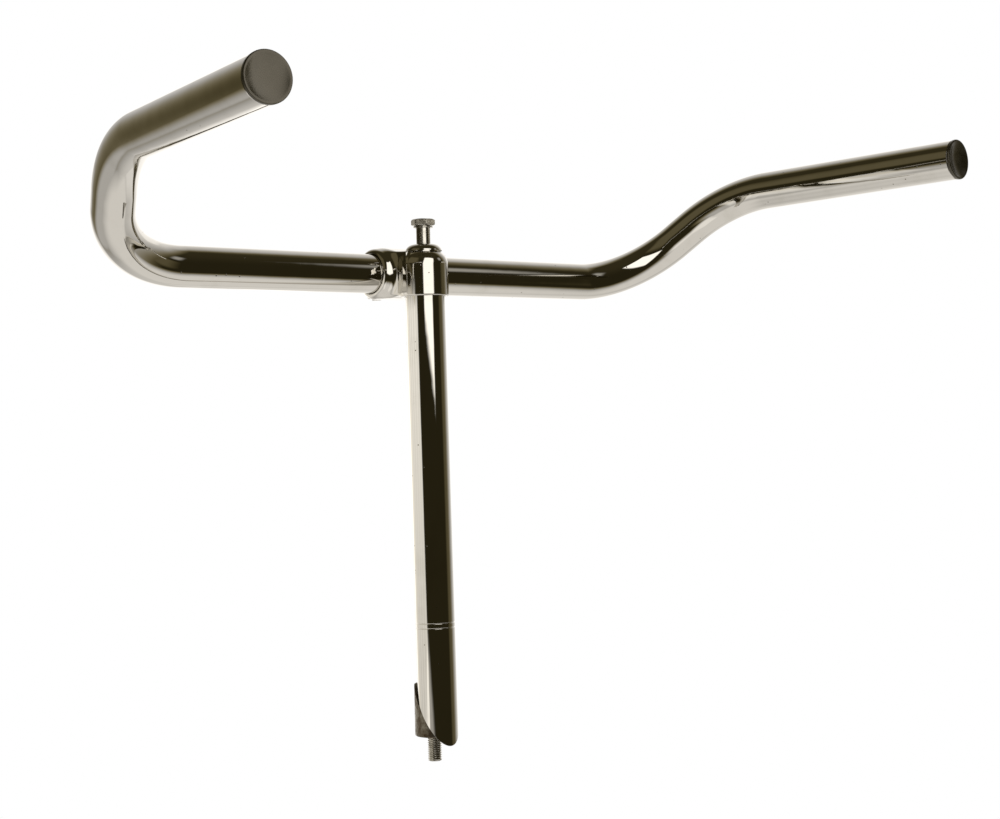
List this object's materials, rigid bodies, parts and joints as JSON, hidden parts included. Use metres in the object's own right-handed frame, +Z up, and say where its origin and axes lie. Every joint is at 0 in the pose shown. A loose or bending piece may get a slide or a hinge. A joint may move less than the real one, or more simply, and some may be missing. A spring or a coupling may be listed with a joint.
{
  "type": "bicycle handlebar and quill stem",
  "caption": "Chromed upright bicycle handlebar with swept-back grips, clamped in a short-reach quill stem with a slanted foot, expander wedge and long hex bolt.",
  "frame": {"origin": "on the quill's axis, at the underside of the stem's lug", "axes": "+Z up the quill, +Y forward to the handlebar's clamp, +X to the rider's right"},
  "size_m": [0.4904, 0.2479, 0.3416],
  "materials": {
    "bar_chrome": "polished, lightly scratched",
    "lug_chrome": "polished",
    "plated_steel": "bright plated, worn",
    "raw_steel": "dark, oily, unpolished",
    "plug_rubber": "matt, slightly shiny"
  },
  "bodies": {
    "stem": {"stem_lug": "lug_chrome", "quill_tube": "bar_chrome", "top_plug": "lug_chrome", "binder_bolt": "plated_steel"},
    "bar": {"handlebar": "bar_chrome", "left_end_plug": "plug_rubber", "right_end_plug": "plug_rubber"},
    "wedge": {"expander_wedge": "raw_steel"},
    "bolt_carrier": {"expander_washer": "plated_steel"},
    "bolt": {"expander_bolt": "plated_steel"},
    "nut_carrier": {"binder_washer": "plated_steel"},
    "nut": {"binder_nut": "plated_steel"}
  },
  "joints": [
    {"name": "bar_tilt", "type": "hinge", "parent": "stem", "child": "bar", "pos_m": [0, 0.025, 0.0143], "axis": [1, 0, 0], "continuous": true},
    {"name": "expander_drop", "type": "slide", "parent": "stem", "child": "wedge", "axis": [0, -0.0131, 0.9999], "range_m": [-0.0045, 0]},
    {"name": "bolt_advance", "type": "slide", "parent": "wedge", "child": "bolt_carrier", "axis": [0, -0.0131, 0.9999], "range_m": [-0.0045, 0.0075]},
    {"name": "bolt_turn", "type": "hinge", "parent": "bolt_carrier", "child": "bolt", "pos_m": [0, 0, 0.0273], "axis": [0, -0.0131, 0.9999], "range_deg": [-1300, 2165]},
    {"name": "nut_advance", "type": "slide", "parent": "stem", "child": "nut_carrier", "axis": [0, 0, 1], "range_m": [-0.003, 0]},
    {"name": "nut_turn", "type": "hinge", "parent": "nut_carrier", "child": "nut", "pos_m": [0, 0.045, 0], "axis": [0, 0, 1], "range_deg": [-1085, 0]}
  ],
  "couplings": [
    {"joint": "bolt_turn", "follows": "bolt_advance", "rad_per_m": 5026.5},
    {"joint": "nut_turn", "follows": "nut_advance", "rad_per_m": 6283.2}
  ]
}
